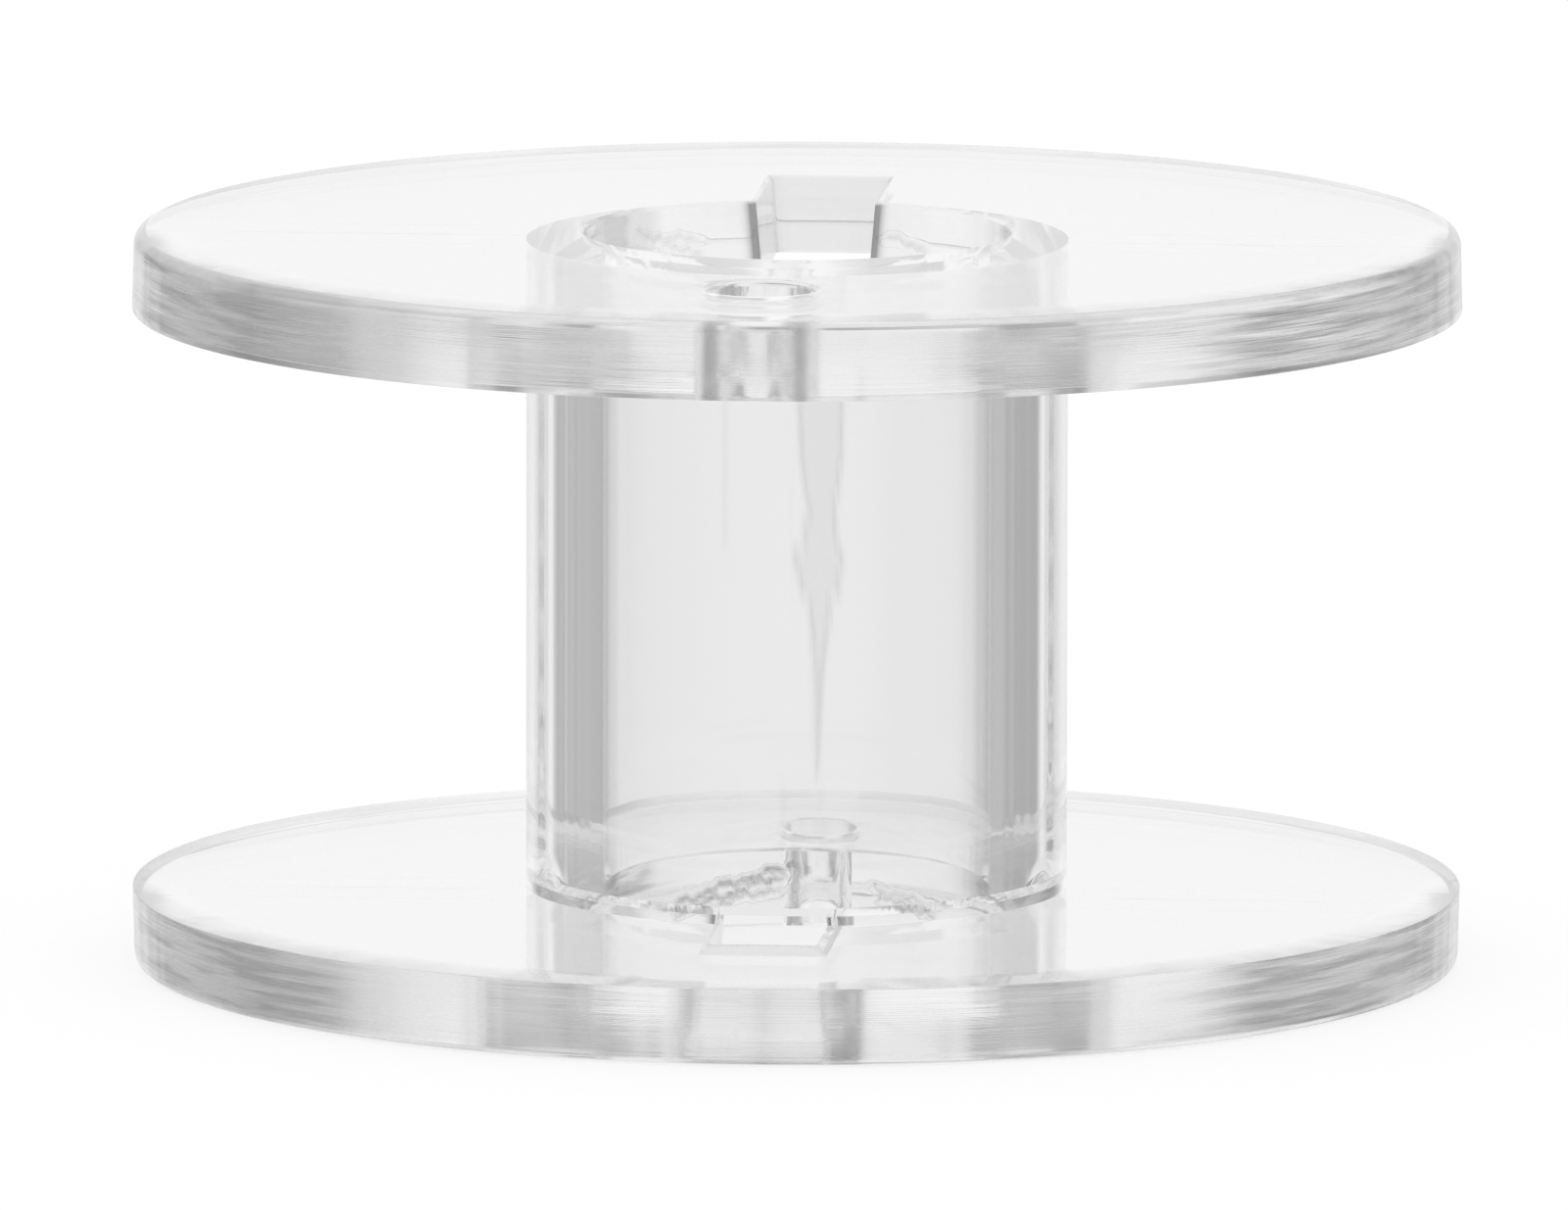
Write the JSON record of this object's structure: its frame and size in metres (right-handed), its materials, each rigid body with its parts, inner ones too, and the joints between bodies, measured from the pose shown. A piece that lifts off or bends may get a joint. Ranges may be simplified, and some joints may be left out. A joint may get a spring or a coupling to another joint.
{
  "type": "sewing machine bobbin",
  "caption": "Clear moulded spool for lower sewing thread: flat round flanges on a hollow hub, with a round bore for a spindle, and a drive slot and a thread hole in each flange.",
  "frame": {"origin": "centre of the lower flange's outer face, on the bore's axis", "axes": "+Z along the bore's axis, up from the resting face; the upper drive slot points to +Y and the lower one to -Y, with a thread hole opposite each, and the mould's parting plane is XZ"},
  "size_m": [0.0205, 0.0204, 0.0114],
  "materials": {
    "clear_plastic": "clear and colourless, smooth from a polished mould"
  },
  "bodies": {
    "root": {"bobbin": "clear_plastic"}
  },
  "joints": []
}
